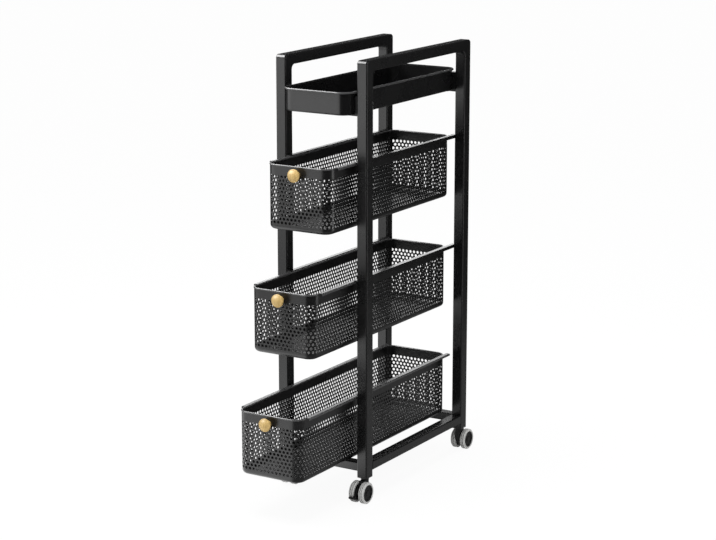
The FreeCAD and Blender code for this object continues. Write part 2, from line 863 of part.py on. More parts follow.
def all_parts():
    """Every piece by name, still counted from the front posts."""
    made = {}
    for side in sides:
        for end in ends:
            made[end + "_post_" + side] = post(side, end)
        made["top_bar_" + side] = top_bar(side)
        made["bottom_rail_" + side] = bottom_rail(side)
        for name in ("upper", "middle"):
            made[name + "_slide_rail_" + side] = slide_rail(name, side)
    for end in ends:
        made["crossbar_" + end] = crossbar(end)
        made["tray_brackets_" + end] = tray_brackets(end)
    made["post_plugs"] = post_plugs()
    made["tray"] = tray()
    made["tray_rivets"] = tray_rivets()
    made["rail_end_stops"] = rail_end_stops()
    made["rail_screws"] = rail_screws()
    made["lower_slide_channel"] = lower_channel()
    made["lower_basket_runner"] = lower_runner()
    for name in basket_rims:
        made[name + "_basket"] = basket(name)
        made[name + "_knob"] = knob(name)
        made[name + "_knob_fixing"] = knob_fixing(name)
    made["castor_stems"] = castor_stems()
    for corner, place in castor_places().items():
        made.update(castor(corner, place))
    return made


def write_parts():
    """Moves the origin under the middle of the whole cart and writes one file for each piece."""
    made = all_parts()
    front = min(shape.BoundBox.YMin for shape in made.values())
    back = max(shape.BoundBox.YMax for shape in made.values())
    os.makedirs("parts", exist_ok=True)
    for name, shape in made.items():
        shape.translate(Vector(0, -(front + back) / 2, 0))
        shape.exportStep(os.path.join("parts", name + ".step"))
    print(len(made), "pieces, origin", round((front + back) / 2, 3), "behind the front posts")


write_parts()
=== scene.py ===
# %% [markdown]
# # A slim kitchen cart with pull-out baskets
#
# The cart is a tube frame with a shallow tray on top and three baskets of perforated sheet
# steel below it. Everything is black except the turned wooden knobs and the grey tyres, so
# the picture lives from soft highlights on edges and from daylight through small holes.
# The frame, with every part that moves, comes ready made. This notebook adds what the
# frame leaves out: the perforation, the rolled edges, the finishes, the light and the camera.

# %% Load the cart
import json
import math

import bpy
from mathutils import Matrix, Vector


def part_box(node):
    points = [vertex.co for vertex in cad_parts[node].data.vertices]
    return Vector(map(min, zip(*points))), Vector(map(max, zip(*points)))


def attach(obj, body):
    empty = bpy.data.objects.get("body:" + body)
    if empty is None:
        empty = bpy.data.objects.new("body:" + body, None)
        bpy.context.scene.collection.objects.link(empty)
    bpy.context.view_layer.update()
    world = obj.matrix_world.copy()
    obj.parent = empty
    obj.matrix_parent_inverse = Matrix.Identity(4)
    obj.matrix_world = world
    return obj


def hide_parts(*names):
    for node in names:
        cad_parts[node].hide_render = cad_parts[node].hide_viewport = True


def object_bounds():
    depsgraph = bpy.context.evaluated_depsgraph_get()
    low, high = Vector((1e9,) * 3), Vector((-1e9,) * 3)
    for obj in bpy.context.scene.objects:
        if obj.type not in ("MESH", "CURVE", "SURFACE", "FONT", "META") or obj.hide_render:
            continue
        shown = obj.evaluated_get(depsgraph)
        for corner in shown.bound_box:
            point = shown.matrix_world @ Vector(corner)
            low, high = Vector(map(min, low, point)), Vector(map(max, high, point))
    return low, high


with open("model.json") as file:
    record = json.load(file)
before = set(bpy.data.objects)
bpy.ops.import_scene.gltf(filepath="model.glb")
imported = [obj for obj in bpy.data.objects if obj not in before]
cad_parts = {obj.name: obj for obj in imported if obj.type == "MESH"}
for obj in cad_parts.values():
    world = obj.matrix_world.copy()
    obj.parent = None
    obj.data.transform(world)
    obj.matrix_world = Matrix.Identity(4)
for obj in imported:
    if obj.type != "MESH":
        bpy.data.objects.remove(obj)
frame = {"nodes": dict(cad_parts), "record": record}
low_before, high_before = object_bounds()
bpy.context.scene.view_settings.view_transform = "Standard"
mm = 0.001

# %% [markdown]
# ## A small language for node trees
#
# Materials and the perforation are both node trees. They could be clicked together by hand
# or written out node by node, but maths is easier to read as maths. So a wrapped socket
# takes plus, minus, times and divided by, also with a plain number in front, and every
# other node is added by one method.

# %% Sockets that take part in arithmetic
class Value:
    """One output of a node that takes part in plain arithmetic."""

    def __init__(self, graph, socket):
        self.graph = graph
        self.socket = socket

    def math(self, operation, other=0.0):
        return self.graph.add("ShaderNodeMath", {"operation": operation}, {0: self, 1: other})[0]

    def __add__(self, other):
        return self.math("ADD", other)

    def __sub__(self, other):
        return self.math("SUBTRACT", other)

    def __mul__(self, other):
        return self.math("MULTIPLY", other)

    def __truediv__(self, other):
        return self.math("DIVIDE", other)

    def __radd__(self, other):
        return self + other

    def __rmul__(self, other):
        return self * other

    def __rsub__(self, other):
        return self * -1.0 + other

    def __rtruediv__(self, other):
        return self.math("POWER", -1.0) * other


print("a socket now takes + - * /")

# %% Nodes and trees
class Node:
    """One node. Its outputs are read in square brackets, by name or by number."""

    def __init__(self, graph, node):
        self.graph = graph
        self.node = node

    def __getitem__(self, key):
        return Value(self.graph, self.node.outputs[key])

    def join(self, key, given):
        """Links an input to a value, or to each value of a list, or sets it to a plain number."""
        values = given if isinstance(given, list) else [given]
        for value in values:
            if isinstance(value, Value):
                self.graph.tree.links.new(value.socket, self.node.inputs[key])
            else:
                self.node.inputs[key].default_value = value


class Graph:
    """A node tree. add makes any node, sets its options and joins its inputs."""

    def __init__(self, tree):
        self.tree = tree

    def add(self, kind, options=None, inputs=None):
        node = Node(self, self.tree.nodes.new(kind))
        for key, value in (options or {}).items():
            setattr(node.node, key, value)
        for key, value in (inputs or {}).items():
            node.join(key, value)
        return node


def soft_step(graph, value, start, end, at_start, at_end):
    """A soft step from one level to another while a value runs from start to end."""
    options = {"interpolation_type": "SMOOTHSTEP"}
    run = {"Value": value, "From Min": start, "From Max": end, "To Min": at_start, "To Max": at_end}
    return graph.add("ShaderNodeMapRange", options, run)[0]


def emptied(owner):
    """The graph of a material or a world, with its first nodes taken out."""
    owner.use_nodes = True
    owner.node_tree.nodes.clear()
    return Graph(owner.node_tree)


print("one method adds every other node")

# %% [markdown]
# ## The camera
#
# The picture is taken from the front right and a little above, with a long lens, so that
# the upright tubes stay nearly parallel. The place, the heading and the lens come from
# lines followed along the posts, rims and rails. The optical axis goes through the middle
# of the picture and nothing is shifted.

# %% Camera
camera_place = Vector((2.0988, -3.3948, 1.3555))
camera_turn = math.radians(31.54)
camera_tilt = math.radians(13.08)
camera_lens = 105.52
camera_sensor = 36.0
camera_reach = 100.0


def add_camera():
    camera = bpy.data.objects.new("camera", bpy.data.cameras.new("camera"))
    bpy.context.scene.collection.objects.link(camera)
    camera.location = camera_place
    camera.rotation_euler = (math.pi / 2 - camera_tilt, 0.0, camera_turn)
    camera.data.sensor_width = camera_sensor
    camera.data.lens = camera_lens
    camera.data.clip_end = camera_reach
    bpy.context.scene.camera = camera
    return camera


camera = add_camera()
print("camera", round(camera.location.length, 2), "m from the cart's foot")

# %% [markdown]
# ## The light: a white world
#
# A black object on white is lit by what it mirrors, so what the camera sees, what lights
# matt surfaces and what the steel mirrors are set apart from here on. Light strong enough
# to make a grey world white would wash out the black steel. So the camera is shown white,
# matt surfaces get even light at a plain level, and mirrored rays see a dim room.

# %% World
seen_white = 1.0
even_light = 0.78
mirrored_room = 0.06


def white_world():
    world = bpy.data.worlds.new("studio")
    bpy.context.scene.world = world
    graph = emptied(world)
    path = graph.add("ShaderNodeLightPath")
    is_camera = path["Is Camera Ray"]
    is_glossy = path["Is Glossy Ray"]
    lit = is_glossy * mirrored_room + (1.0 - is_glossy) * even_light
    level = is_camera * seen_white + (1.0 - is_camera) * lit
    background = graph.add("ShaderNodeBackground", {}, {"Color": (1, 1, 1, 1), "Strength": level})
    graph.add("ShaderNodeOutputWorld", {}, {"Surface": background[0]})


white_world()
print("world: white", seen_white, "even", even_light, "mirrored", mirrored_room)

# %% [markdown]
# ## The white floor
#
# The floor is white to the camera too and keeps a faint shadow. The steel shows a floor of
# its own. In front and to the left it is bright, which gives the front faces their grey,
# with a darker ring two metres out that darkens the posts at half height. To the right it
# is dark except near the cart, so the side faces stay black and only lighten at the foot.
# A painted backdrop could do the same, but a formula is easier to fit to the picture.

# %% Floor
floor_size = 60.0
floor_paper = (0.95, 0.95, 0.95, 1.0)
shadow_kept = 0.06
front_floor = 2.5
front_floor_dip = 0.85
dip_distance = 2.0
dip_width = 0.7
right_floor_near = 0.32
right_floor_far = 0.035
right_floor_start = 0.5
right_floor_end = 2.0
share_softness = 0.1
left_share = (-0.15, 0.1)
ahead_share = (-0.4, 0.0)


def emptied_material(name):
    material = bpy.data.materials.new(name)
    return material, emptied(material)


def flat_mesh(name, width, height, material):
    w, h = width / 2, height / 2
    mesh = bpy.data.meshes.new(name)
    mesh.from_pydata([(-w, -h, 0), (w, -h, 0), (w, h, 0), (-w, h, 0)], [], [(0, 1, 2, 3)])
    mesh.materials.append(material)
    item = bpy.data.objects.new(name, mesh)
    bpy.context.scene.collection.objects.link(item)
    return item


def mirrored_floor(graph):
    """The level of the floor in mirrored rays: one for the front left, one for the rest."""
    place = graph.add("ShaderNodeSeparateXYZ", {}, {0: graph.add("ShaderNodeTexCoord")["Object"]})
    distance = (place["X"] * place["X"] + place["Y"] * place["Y"]).math("SQRT")
    off_dip = (distance - dip_distance) / dip_width
    dip = 1.0 / (off_dip * off_dip + 1.0)
    front = (1.0 - dip * front_floor_dip) * front_floor
    right = soft_step(
        graph, distance, right_floor_start, right_floor_end, right_floor_near, right_floor_far,
    )
    left = soft_step(graph, place["X"] / (distance + share_softness), *left_share, 1.0, 0.0)
    ahead = soft_step(graph, place["Y"] / (distance + share_softness), *ahead_share, 1.0, 0.0)
    share = left * ahead
    return front * share + right * (1.0 - share)


def white_floor():
    """A white floor with a faint shadow, which mirrored rays see at levels of its own."""
    material, graph = emptied_material("white floor")
    path = graph.add("ShaderNodeLightPath")
    paper = graph.add("ShaderNodeBsdfDiffuse", {}, {"Color": floor_paper})[0]
    white = graph.add("ShaderNodeEmission", {}, {"Strength": seen_white})[0]
    mirrored = graph.add("ShaderNodeEmission", {}, {"Strength": mirrored_floor(graph)})[0]
    mostly_white = {0: path["Is Camera Ray"] * (1.0 - shadow_kept), 1: paper, 2: white}
    shown = graph.add("ShaderNodeMixShader", {}, mostly_white)[0]
    by_ray = {0: path["Is Glossy Ray"], 1: shown, 2: mirrored}
    whole = graph.add("ShaderNodeMixShader", {}, by_ray)[0]
    graph.add("ShaderNodeOutputMaterial", {}, {"Surface": whole})
    flat_mesh("floor", floor_size, floor_size, material)


white_floor()
print("floor", floor_size, "m wide")

# %% [markdown]
# ## The cards and the lamp
#
# The lamp could light everything, but then its size and place would also shape every
# highlight. Here the lamp isn't mirrored, and three flat bright cards are seen only by
# mirrored rays. The left softbox draws the bright lines on bends and rims, and the right
# softbox a line down each rounded corner. The low reflector behind lights the tops of the
# flanges but ends below the level of the top bars.

# %% A card and a lamp
def card(name, size, place, towards, strength):
    """A flat bright card that faces a point and is seen only by mirrored rays."""
    material, graph = emptied_material(name)
    shine = graph.add("ShaderNodeEmission", {}, {"Strength": strength})[0]
    graph.add("ShaderNodeOutputMaterial", {}, {"Surface": shine})
    item = flat_mesh(name, size[0], size[1], material)
    item.location = place
    item.rotation_euler = (towards - place).to_track_quat("Z", "Y").to_euler()
    item.visible_camera = False
    item.visible_diffuse = False
    item.visible_shadow = False


def lamp(name, size, place, towards, power):
    """A soft lamp that lights matt surfaces and isn't mirrored."""
    data = bpy.data.lights.new(name, "AREA")
    data.shape = "RECTANGLE"
    data.size = size[0]
    data.size_y = size[1]
    data.energy = power
    item = bpy.data.objects.new(name, data)
    bpy.context.scene.collection.objects.link(item)
    item.location = place
    item.rotation_euler = (towards - place).to_track_quat("-Z", "Y").to_euler()
    item.visible_camera = False
    item.visible_glossy = False


print("cards and lamps ready")

# %% Place the cards and the lamp
middle = (low_before + high_before) / 2
lamp_size = (1.6, 1.2)
lamp_place = middle + Vector((-0.2, -0.5, 1.7))
lamp_power = 38.0
left_size = (2.1, 1.5)
left_place = Vector((-1.4, -0.8, 2.1))
left_aim = Vector((0.0, -0.1, 0.7))
left_strength = 18.0
right_size = (0.6, 1.6)
right_place = Vector((1.37, 0.62, 0.8))
right_aim = Vector((0.0, 0.0, 0.8))
right_strength = 2.3
rear_size = (1.3, 0.4)
rear_place = Vector((-0.56, 1.02, 0.68))
rear_aim = Vector((0.0, 0.17, 0.68))
rear_strength = 2.8

lamp("overhead lamp", lamp_size, lamp_place, middle, lamp_power)
card("left softbox", left_size, left_place, left_aim, left_strength)
card("right softbox", right_size, right_place, right_aim, right_strength)
card("rear reflector", rear_size, rear_place, rear_aim, rear_strength)
print("one lamp and three cards")

# %% [markdown]
# ## What all finishes share
#
# Every finish is one principled shader with noise in it. All noise is worked out in the
# object's own coordinates, so nothing slides when a basket is pulled out, and no finish
# needs an image. The noise runs around 0.5, so one helper spreads it round a middle level.

# %% Helpers for finishes
def surface(name, colour, roughness, metallic=0.0):
    """A material with one principled shader. Returns the material, its graph and the shader."""
    material, graph = emptied_material(name)
    settings = {"Base Color": (*colour, 1.0), "Roughness": roughness, "Metallic": metallic}
    shader = graph.add("ShaderNodeBsdfPrincipled", {}, settings)
    graph.add("ShaderNodeOutputMaterial", {}, {"Surface": shader[0]})
    return material, graph, shader


def object_place(graph):
    return graph.add("ShaderNodeTexCoord")["Object"]


def noise(graph, scale, detail=2.0, place=None):
    """Noise around 0.5 on the object's own coordinates, with scale in patches per metre."""
    place = place or object_place(graph)
    return graph.add("ShaderNodeTexNoise", {}, {"Vector": place, "Scale": scale, "Detail": detail})[0]


def around(level, spread, pattern):
    """A pattern that runs around 0.5, spread round another level."""
    return pattern * spread + (level - spread / 2)


def mixed(graph, share, one, other, blend="MIX"):
    """Two colours mixed by a share. Sockets 6 and 7 of this node take the colours."""
    options = {"data_type": "RGBA", "blend_type": blend}
    return graph.add("ShaderNodeMix", options, {0: share, 6: one, 7: other})[2]


def tinted(graph, colour, factor):
    """The colour made lighter or darker by a factor around 1."""
    grey = graph.add("ShaderNodeCombineColor", {}, {0: factor, 1: factor, 2: factor})[0]
    return mixed(graph, 1.0, (*colour, 1.0), grey, "MULTIPLY")


def bump(graph, height, strength, distance):
    settings = {"Height": height, "Strength": strength, "Distance": distance}
    return graph.add("ShaderNodeBump", {}, settings)[0]


print("helpers for finishes ready")

# %% [markdown]
# ## Powder coat
#
# The steel is powder coated: a black skin with a fine orange-peel surface and a sheen that
# varies a little from place to place. Real orange peel is far too fine to model as shape,
# so it is a bump. Rims and flanges get a lighter version of the coat: a painted highlight
# that stands in for the bright lines their rolled edges catch from the light.

# %% Powder coat
peel_scale = 700.0
peel_strength = 0.15
peel_depth = 0.15 * mm
speck_scale = 2600.0
speck_spread = 0.5
sheen_scale = 14.0
sheen_spread = 0.14


def powder_coat(name, colour, roughness):
    material, graph, shader = surface(name, colour, roughness)
    tint = around(1.0, speck_spread, noise(graph, speck_scale, 0.0))
    shader.join("Base Color", tinted(graph, colour, tint))
    shader.join("Roughness", around(roughness, sheen_spread, noise(graph, sheen_scale)))
    shader.join("Normal", bump(graph, noise(graph, peel_scale), peel_strength, peel_depth))
    return material


materials = {
    "frame_steel": powder_coat("black powder coat", (0.005, 0.005, 0.0052), 0.27),
    "basket_steel": powder_coat("black powder coat on sheet", (0.006, 0.006, 0.0062), 0.3),
    # Rims and flanges: base colour lifted to 0.05, a painted highlight on the rolled edges.
    "rolled_edge": powder_coat("powder coat with painted edge highlight", (0.05, 0.05, 0.051), 0.27),
}
print(len(materials), "powder coats")

# %% [markdown]
# ## Moulded plastic
#
# Hubs, hoods, levers and plugs are black nylon from a mould with a fine spark finish, and
# the screws have a black oxide that looks much alike. Plastic mirrors less than a coat of
# paint, so its shine is turned down instead of making it rougher.

# %% Moulded plastic
spark_scale = 1800.0
spark_strength = 0.2
spark_depth = 0.1 * mm
plastic_sheen_scale = 60.0
plastic_tint_scale = 35.0


def moulded_plastic(name, colour, roughness, shine=0.5):
    material, graph, shader = surface(name, colour, roughness)
    shader.join("Specular IOR Level", shine)
    shader.join("Roughness", around(roughness, 0.2, noise(graph, plastic_sheen_scale)))
    tint = around(1.0, 0.4, noise(graph, plastic_tint_scale))
    shader.join("Base Color", tinted(graph, colour, tint))
    shader.join("Normal", bump(graph, noise(graph, spark_scale), spark_strength, spark_depth))
    return material


materials["black_screw"] = moulded_plastic("black oxide", (0.02, 0.02, 0.021), 0.35)
materials["hub_plastic"] = moulded_plastic("satin hub plastic", (0.006, 0.006, 0.006), 0.36, 0.25)
materials["black_plastic"] = moulded_plastic("satin black plastic", (0.008, 0.008, 0.0083), 0.4, 0.35)
print(len(materials), "finishes")

# %% [markdown]
# ## Tyre rubber
#
# The tyres are light grey rubber that picks up dust. Each tread has two fine grooves, which
# are cut into the solid and are also painted darker, as painted shade in the grooves. The pattern finds them
# by their distance from the middle of each tyre. It works for all eight tyres at once,
# because the four castors stand at the same distance left and right of the cart's middle.

# %% Tyre rubber
castor_to_middle = 90.0 * mm
tyre_to_castor = 10.7 * mm
groove_to_tyre = 1.83 * mm
groove_width = 1.2 * mm
# How dark the grooves are painted: painted shade in the grooves.
groove_shade = 0.45
dust_scale = 120.0
rubber_roughness = 0.625
rubber_sheen_scale = 300.0
rubber_grain_scale = 1500.0
rubber_grain_share = 0.15
rubber_strength = 0.4
rubber_depth = 0.6 * mm


def open_tread(graph):
    """One on the open tread, falling to zero in the two grooves of each tyre."""
    across = graph.add("ShaderNodeSeparateXYZ", {}, {0: object_place(graph)})["X"]
    from_castor = (across.math("ABSOLUTE") - castor_to_middle).math("ABSOLUTE")
    from_tyre = (from_castor - tyre_to_castor).math("ABSOLUTE")
    from_groove = (from_tyre - groove_to_tyre).math("ABSOLUTE")
    return soft_step(graph, from_groove, 0.3 * groove_width, 0.7 * groove_width, 0.0, 1.0)


def grey_rubber(name, colour):
    """Rubber with painted shade in the two grooves round each tread and dust in patches."""
    material, graph, shader = surface(name, colour, rubber_roughness)
    tread = open_tread(graph)
    dust = around(1.0, 0.3, noise(graph, dust_scale, 5.0))
    # The grooves are darkened by groove_shade: painted shade, times the dust patches.
    tint = dust * (tread * (1.0 - groove_shade) + groove_shade)
    shader.join("Base Color", tinted(graph, colour, tint))
    shader.join("Roughness", around(rubber_roughness, 0.25, noise(graph, rubber_sheen_scale)))
    grain = noise(graph, rubber_grain_scale, 4.0) * rubber_grain_share
    shader.join("Normal", bump(graph, tread + grain, rubber_strength, rubber_depth))
    return material


materials["tyre_grey"] = grey_rubber("grey rubber", (0.50, 0.50, 0.49))
print(len(materials), "finishes")

# %% [markdown]
# ## Turned wood
#
# The knobs are turned from a pale hardwood and varnished. The grain is noise drawn out
# along Z, with fine darker pores and soft rings in it. A wave alone would look printed, so
# the rings are bent by noise and carry only a third of the contrast. Under a thin varnish
# the wood shines softly, so the coat is weak and rough.

# %% Turned wood
grain_stretch = (1.0, 1.0, 0.12)
grain_scale = 260.0
pore_scale = 1600.0
pore_strength = 0.15
pore_depth = 0.1 * mm
grain_share = 0.5
pore_share = 0.2
ring_share = 0.35
wood_roughness = 0.55
ring_shape = {"Scale": 70.0, "Distortion": 5.0, "Detail": 3.0, "Detail Scale": 1.5}
wood_coat = {"Specular IOR Level": 0.35, "Coat Weight": 0.1, "Coat Roughness": 0.4}


def pale_wood(name, light, dark):
    """Wood with its grain upright: noise drawn out along Z, with fine darker pores in it."""
    material, graph, shader = surface(name, light, wood_roughness)
    stretched = {"Vector": object_place(graph), "Scale": grain_stretch}
    drawn = graph.add("ShaderNodeMapping", {}, stretched)[0]
    grain = noise(graph, grain_scale, 6.0, drawn)
    pores = noise(graph, pore_scale, 2.0, drawn)
    rings = graph.add("ShaderNodeTexWave", {"bands_direction": "X"}, {"Vector": drawn, **ring_shape})[1]
    amount = rings * ring_share + grain * grain_share + pores * pore_share
    shader.join("Base Color", mixed(graph, amount, (*light, 1.0), (*dark, 1.0)))
    shader.join("Roughness", around(wood_roughness, 0.2, grain))
    for key, level in wood_coat.items():
        shader.join(key, level)
    shader.join("Normal", bump(graph, pores, pore_strength, pore_depth))
    return material


materials["knob_wood"] = pale_wood("pale turned wood", (0.60, 0.43, 0.17), (0.42, 0.27, 0.085))
print(len(materials), "finishes")

# %% [markdown]
# ## Zinc plate, and every finish in its place
#
# Axles, castor stems and knob screws are bright zinc plate: a metal with a blotchy sheen.
# The record of the cart says which finish each part has, so one loop puts them all on.

# %% Zinc plate, and every finish in its place
zinc_grey = (0.55, 0.55, 0.57)
zinc_roughness = 0.32
zinc_scale = 400.0


def zinc_plate(name):
    material, graph, shader = surface(name, zinc_grey, zinc_roughness, 1.0)
    shader.join("Roughness", around(zinc_roughness, 0.2, noise(graph, zinc_scale)))
    return material


materials["zinc_steel"] = zinc_plate("zinc plate")
slots = {part["node"]: part["material_slot"] for part in frame["record"]["subparts"]}
for node, item in frame["nodes"].items():
    item.data.materials.clear()
    item.data.materials.append(materials[slots[node]])
print(len(materials), "finishes on", len(slots), "parts")

# %% [markdown]
# ## The perforated walls of a basket
#
# A real basket is punched flat, then bent and welded. It is built the same way here. Flat
# first: one small cell with a round hole, repeated in rows on a strip as long as the way
# round the basket, every second row shifted by half a cell. Plain bands go below and above.
# Then every point of the strip moves to its place: along the strip becomes round the
# basket, and up the strip becomes up the wall, past the rounded foot. This keeps the holes
# evenly spaced round the corners, which cutting a finished box from four sides wouldn't.

# %% One hole in its cell
hole_pitch = 8.5 * mm
hole_radius = 2.8 * mm
hole_sides = 16
sharp_angle = math.radians(35.0)


def shade(mesh):
    """Smooth shading that keeps the sharp edges."""
    mesh.shade_smooth()
    mesh.set_sharp_from_angle(angle=sharp_angle)


def mesh_object(name, points, faces):
    mesh = bpy.data.meshes.new(name)
    mesh.from_pydata(points, [], faces)
    shade(mesh)
    return bpy.data.objects.new(name, mesh)


def hole_cell(width, height):
    """A flat rectangle with a round hole: two rings of points, zipped together by angle."""
    w, h = width / 2, height / 2
    rim = [(w, -h), (w, h), (0, h), (-w, h), (-w, -h), (0, -h)]
    rim_angles = [math.atan2(y, x) for x, y in rim]
    turn = 2 * math.pi
    hole_angles = [rim_angles[0] + turn * i / hole_sides for i in range(hole_sides)]
    hole = [(hole_radius * math.cos(a), hole_radius * math.sin(a)) for a in hole_angles]
    rim_angles = [a if a >= rim_angles[0] else a + turn for a in rim_angles] + [rim_angles[0] + turn]
    hole_angles.append(hole_angles[0] + turn)
    points = [(x, y, 0) for x, y in rim + hole]
    faces = []
    i = j = 0
    while i < len(rim) or j < len(hole):
        outer_next = rim_angles[i + 1] if i < len(rim) else math.inf
        inner_next = hole_angles[j + 1] if j < len(hole) else math.inf
        outer = i % len(rim)
        inner = len(rim) + j % len(hole)
        if outer_next <= inner_next:
            faces.append((outer, (i + 1) % len(rim), inner))
            i += 1
        else:
            faces.append((outer, len(rim) + (j + 1) % len(hole), inner))
            j += 1
    return mesh_object("hole cell", points, faces)


print("holes", 2 * hole_radius / mm, "mm wide,", hole_pitch / mm, "mm apart")

# %% [markdown]
# ## The lengths of a basket, inside the node tree
#
# The three baskets differ only in length, so one tree makes them all and takes their sizes
# as named inputs. What follows from those sizes, such as the way round the basket, is
# worked out in the tree, so that a changed input changes everything that hangs on it.

# %% The inputs and the lengths that follow from them
basket_inputs = {
    "Half Width": "NodeSocketFloat",
    "Front": "NodeSocketFloat",
    "Back": "NodeSocketFloat",
    "Rim": "NodeSocketFloat",
    "Height": "NodeSocketFloat",
    "Corner Radius": "NodeSocketFloat",
    "Foot Radius": "NodeSocketFloat",
    "Columns": "NodeSocketInt",
    "Rows": "NodeSocketInt",
    "Row Pitch": "NodeSocketFloat",
    "First Row Drop": "NodeSocketFloat",
    "Cell": "NodeSocketObject",
    "Material": "NodeSocketMaterial",
}


class WallLengths:
    """The lengths of a basket's wall. Heights start where the wall leaves the rounded foot."""

    def __init__(self, given):
        self.half = given["Half Width"]
        self.corner = given["Corner Radius"]
        self.foot = given["Foot Radius"]
        self.middle = (given["Front"] + given["Back"]) * 0.5
        self.depth = given["Back"] - given["Front"]
        straight_x = self.half * 2 - self.corner * 2
        straight_y = self.depth - self.corner * 2
        self.way_round = straight_x * 2 + straight_y * 2 + self.corner * (2 * math.pi)
        self.front_middle = self.corner * (1.5 * math.pi) + straight_x * 1.5 + straight_y
        self.step = self.way_round / given["Columns"]
        self.row_step = given["Row Pitch"]
        self.foot_curve = self.foot * (math.pi / 2)
        self.top = given["Height"] - self.foot
        self.last_row = self.top - given["First Row Drop"]
        self.first_row = self.last_row - (given["Rows"] - 1.0) * self.row_step
        self.band_low = self.first_row - self.row_step * 0.5
        self.band_high = self.last_row + self.row_step * 0.5
        self.base = given["Rim"] - given["Height"]


def open_tree(name):
    """An empty node group. Returns its graph, the identifiers of its inputs and their values."""
    tree = bpy.data.node_groups.new(name, "GeometryNodeTree")
    sockets = {}
    for label, kind in basket_inputs.items():
        socket = tree.interface.new_socket(name=label, in_out="INPUT", socket_type=kind)
        sockets[label] = socket.identifier
    tree.interface.new_socket(name="Geometry", in_out="OUTPUT", socket_type="NodeSocketGeometry")
    graph = Graph(tree)
    inputs = graph.add("NodeGroupInput")
    return graph, sockets, {label: inputs[label] for label in sockets}


print(len(basket_inputs), "named inputs")

# %% [markdown]
# ## The flat strip
#
# A grid gives the middles of the holes, and the hole cell is set on each of its points.
# Realised at once, the cells become plain mesh, because instances couldn't be bent. The
# plain bands are grids with two columns for each hole, so their edges meet the cells
# point on point.

# %% The flat strip
low_band_rows = 8
high_band_rows = 3


def combine(graph, x, y, z=0.0):
    return graph.add("ShaderNodeCombineXYZ", {}, {0: x, 1: y, 2: z})[0]


def position(graph):
    return graph.add("ShaderNodeSeparateXYZ", {}, {0: graph.add("GeometryNodeInputPosition")[0]})


def moved(graph, geometry, shift):
    return graph.add("GeometryNodeTransform", {}, {"Geometry": geometry, "Translation": shift})[0]


def grid(graph, size, count, low_y):
    """A flat grid that starts at X zero and at a height."""
    settings = {0: size[0], 1: size[1], 2: count[0], 3: count[1]}
    mesh = graph.add("GeometryNodeMeshGrid", {}, settings)[0]
    return moved(graph, mesh, combine(graph, size[0] * 0.5, size[1] * 0.5 + low_y))


def flat_strip(graph, given, wall):
    """The sheet before it is bent: X runs round the basket and Y up its wall."""
    columns, rows = given["Columns"], given["Rows"]
    size = ((columns - 1.0) * wall.step, wall.last_row - wall.first_row)
    centres = grid(graph, size, (columns, rows), wall.first_row)
    row = ((position(graph)["Y"] - wall.first_row) / wall.row_step).math("ROUND")
    shift = combine(graph, row.math("MODULO", 2.0) * wall.step * 0.5, 0.0)
    centres = graph.add("GeometryNodeSetPosition", {}, {"Geometry": centres, "Offset": shift})[0]
    cell = graph.add("GeometryNodeObjectInfo", {}, {"Object": given["Cell"]})["Geometry"]
    cells = graph.add("GeometryNodeInstanceOnPoints", {}, {"Points": centres, "Instance": cell})[0]
    cells = graph.add("GeometryNodeRealizeInstances", {}, {"Geometry": cells})[0]
    across = columns * 2.0 + 1.0
    low_size = (wall.way_round, wall.band_low + wall.foot_curve)
    low = grid(graph, low_size, (across, low_band_rows), wall.foot_curve * -1.0)
    high_size = (wall.way_round, wall.top - wall.band_high)
    high = grid(graph, high_size, (across, high_band_rows), wall.band_high)
    return graph.add("GeometryNodeJoinGeometry", {}, {0: [cells, low, high]})[0]


print("plain bands with", low_band_rows, "and", high_band_rows, "rows of points")

# %% [markdown]
# ## The strip bent to a basket
#
# A rounded rectangle is drawn as a curve. The share of the way along the strip, counted
# from the middle of the front, finds a place on that curve, and the tangent there says
# which way is inwards. Below the foot the sheet follows a quarter circle inwards, so the
# wall ends in a level edge, and that edge is filled with a plain floor.

# %% The strip bent to a basket
corner_steps = 16
weld = 0.01 * mm
foot_tolerance = 0.1 * mm


def welded(graph, geometry):
    return graph.add("GeometryNodeMergeByDistance", {}, {"Geometry": geometry, "Distance": weld})[0]


def bent(graph, wall, flat):
    """The strip moved point by point to its place round the basket and up its wall."""
    box = {"Width": wall.half * 2, "Height": wall.depth}
    outline = graph.add("GeometryNodeCurvePrimitiveQuadrilateral", {}, box)[0]
    rounding = {"Curve": outline, "Count": corner_steps, "Radius": wall.corner}
    outline = graph.add("GeometryNodeFilletCurve", {"mode": "POLY"}, rounding)[0]
    place = position(graph)
    along = (place["X"] / wall.way_round + wall.front_middle / wall.way_round).math("FRACT")
    by_factor = {"mode": "FACTOR", "use_all_curves": True}
    sample = graph.add("GeometryNodeSampleCurve", by_factor, {"Curves": outline, "Factor": along})
    there = graph.add("ShaderNodeSeparateXYZ", {}, {0: sample["Position"]})
    tangent = graph.add("ShaderNodeSeparateXYZ", {}, {0: sample["Tangent"]})
    below = (place["Y"] * -1.0).math("MAXIMUM", 0.0).math("MINIMUM", wall.foot_curve)
    angle = below / wall.foot
    inset = wall.foot - wall.foot * angle.math("COSINE")
    rise = place["Y"].math("MAXIMUM", 0.0) + wall.foot - wall.foot * angle.math("SINE")
    target = combine(
        graph,
        there["X"] - tangent["Y"] * inset,
        there["Y"] + tangent["X"] * inset + wall.middle,
        rise + wall.base,
    )
    return welded(graph, graph.add("GeometryNodeSetPosition", {}, {"Geometry": flat, "Position": target})[0])


